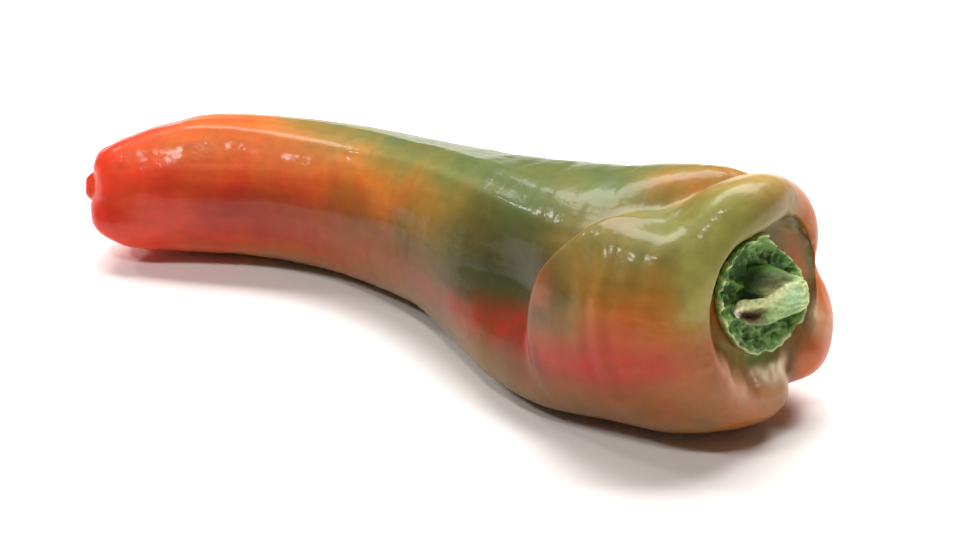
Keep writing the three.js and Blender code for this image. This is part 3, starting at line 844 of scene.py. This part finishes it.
def stem_mesh():
    parts = [
        loft(stalk_outlines(), *STALK_GRID),
        loft(lip_outlines(), *LIP_GRID),
        loft(shell_outlines(), *SHELL_GRID),
    ]
    points, faces = joined(parts, VOXEL)
    points = smoothed(points, faces, SMOOTHINGS)
    normals = vertex_normals(points, faces)
    run, rise, front = points.T
    fibre = noise(points * (0.35, 1.5, 1.2), 5, 3)
    grain = noise(points * 1.7, 25, 3)
    # The shell's torn edge is the most uneven.
    edge = step(front, 7.5, 9) * step(rise + 5 - 0.35 * np.maximum(run, -2), 0, 2)
    ragged = edge * noise(points * (1.4, 0.9, 0.9), 45, 2)
    lift = 0.13 * fibre + 0.1 * grain + 0.22 * ragged
    points = points + normals * lift[:, None]
    mottled = 1 + 0.22 * fibre + 0.2 * grain
    # Painted light: the stem's colours are lightened as a whole.
    tint = STEM_PAINTED_LIGHT * by_spots(points, STEM_SPOTS) * mottled[:, None]
    place = CAVITY_ORIGIN + points @ np.array([FACE_RUN, FACE_RISE, FACE_FRONT])
    return solid("pepper_stem", place * MM, faces, np.clip(tint, 0, 1))


fruit = fruit_mesh()
calyx = calyx_mesh()
stem = stem_mesh()

# ------------------------------------------------------------------ materials

# Noise per metre: the mottling of the colour, then the patches of roughness.
MOTTLE_SCALE, PATCH_SCALE = 420, 90


def new_material(name, roughness, coat, coat_roughness, bump_scale, bump_strength):
    """A Principled material whose colour is the mesh's tint with fine mottling, and with bump."""
    material = bpy.data.materials.new(name)
    material.use_nodes = True
    nodes, links = material.node_tree.nodes, material.node_tree.links
    shader = nodes["Principled BSDF"]
    shader.inputs["Coat Weight"].default_value = coat
    shader.inputs["Coat Roughness"].default_value = coat_roughness
    tint = nodes.new("ShaderNodeAttribute")
    tint.attribute_name = "tint"
    where = nodes.new("ShaderNodeTexCoord")

    def noise_node(scale, detail):
        node = nodes.new("ShaderNodeTexNoise")
        node.inputs["Scale"].default_value = scale
        node.inputs["Detail"].default_value = detail
        links.new(where.outputs["Object"], node.inputs["Vector"])
        return node

    mottle = noise_node(MOTTLE_SCALE, 5)
    spread = nodes.new("ShaderNodeMapRange")
    spread.inputs["To Min"].default_value = 0.84
    spread.inputs["To Max"].default_value = 1.14
    links.new(mottle.outputs["Fac"], spread.inputs["Value"])
    scale = nodes.new("ShaderNodeVectorMath")
    scale.operation = "SCALE"
    links.new(tint.outputs["Color"], scale.inputs[0])
    links.new(spread.outputs["Result"], scale.inputs["Scale"])
    links.new(scale.outputs["Vector"], shader.inputs["Base Color"])

    patches = noise_node(PATCH_SCALE, 3)
    rough = nodes.new("ShaderNodeMapRange")
    rough.inputs["To Min"].default_value = roughness * 0.8
    rough.inputs["To Max"].default_value = roughness * 1.25
    links.new(patches.outputs["Fac"], rough.inputs["Value"])
    links.new(rough.outputs["Result"], shader.inputs["Roughness"])

    grain = noise_node(bump_scale, 4)
    bumps = nodes.new("ShaderNodeBump")
    bumps.inputs["Strength"].default_value = bump_strength
    bumps.inputs["Distance"].default_value = 0.0004
    links.new(grain.outputs["Fac"], bumps.inputs["Height"])
    links.new(bumps.outputs["Normal"], shader.inputs["Normal"])
    links.new(bumps.outputs["Normal"], shader.inputs["Coat Normal"])
    return material, shader


skin_material, skin_shader = new_material(
    "skin", roughness=0.42, coat=0.2, coat_roughness=0.08, bump_scale=700, bump_strength=0.2
)
skin_shader.inputs["Specular IOR Level"].default_value = 0.2
skin_shader.inputs["Subsurface Weight"].default_value = 0.12
skin_shader.inputs["Subsurface Radius"].default_value = (1.0, 0.4, 0.15)
skin_shader.inputs["Subsurface Scale"].default_value = 0.003
fruit.data.materials.append(skin_material)
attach(fruit, "root")
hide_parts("fruit")

calyx_material, _ = new_material(
    "calyx", roughness=0.6, coat=0.05, coat_roughness=0.4, bump_scale=1500, bump_strength=0.5
)
stem_material, _ = new_material(
    "stem", roughness=0.6, coat=0.05, coat_roughness=0.4, bump_scale=1300, bump_strength=0.5
)
for piece, node, material in ((calyx, "calyx", calyx_material), (stem, "stem", stem_material)):
    piece.data.materials.append(material)
    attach(piece, "root")
    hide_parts(node)

# ------------------------------------------------------------------ studio

# The floor lies a hair below the flat spots, so that it doesn't show through them.
bpy.ops.mesh.primitive_plane_add(size=6, location=(0, 0, -0.0002))
ground = bpy.context.object
ground.name = "floor"
paper = bpy.data.materials.new("floor")
paper.use_nodes = True
paper_shader = paper.node_tree.nodes["Principled BSDF"]
paper_shader.inputs["Base Color"].default_value = (0.94, 0.9, 0.88, 1)
paper_shader.inputs["Roughness"].default_value = 0.7
ground.data.materials.append(paper)


def area_light(name, location, target, size, power):
    data = bpy.data.lights.new(name, "AREA")
    data.shape = "RECTANGLE"
    data.size, data.size_y = size
    data.energy = power
    lamp = bpy.data.objects.new(name, data)
    bpy.context.scene.collection.objects.link(lamp)
    lamp.location = location
    lamp.rotation_euler = (Vector(target) - Vector(location)).to_track_quat("-Z", "Y").to_euler()


# Name, place, target, size in metres and power.
area_light("softbox", (-0.25, 0.55, 1.22), (0, 0, 0.02), (1.7, 0.85), 45)
area_light("window", (-0.48, -0.82, 1.0), (0, 0, 0.02), (0.2, 0.12), 4.2)
area_light("front_window", (0.02, -0.73, 1.2), (0, 0, 0.02), (0.2, 0.11), 3.8)
area_light("side_window", (-1.05, -0.18, 0.95), (-0.05, 0, 0.02), (0.14, 0.09), 2.8)

world = bpy.data.worlds.new("studio")
bpy.context.scene.world = world
world.use_nodes = True
background = world.node_tree.nodes["Background"]
background.inputs["Color"].default_value = (1, 0.84, 0.76, 1)
background.inputs["Strength"].default_value = 0.075

AZIMUTH, ELEVATION, DISTANCE = math.radians(30), math.radians(28), 0.63
LOOK_AT = Vector((0.01352, -0.00252, 0.02))
level = math.cos(ELEVATION)
back = Vector((math.sin(AZIMUTH) * level, -math.cos(AZIMUTH) * level, math.sin(ELEVATION)))
camera_data = bpy.data.cameras.new("camera")
camera_data.lens = 96.07
camera_data.sensor_width = 36
camera = bpy.data.objects.new("camera", camera_data)
bpy.context.scene.collection.objects.link(camera)
camera.location = LOOK_AT + back * DISTANCE
camera.rotation_euler = back.to_track_quat("Z", "Y").to_euler()
bpy.context.scene.camera = camera
bpy.context.scene.view_settings.view_transform = "Standard"
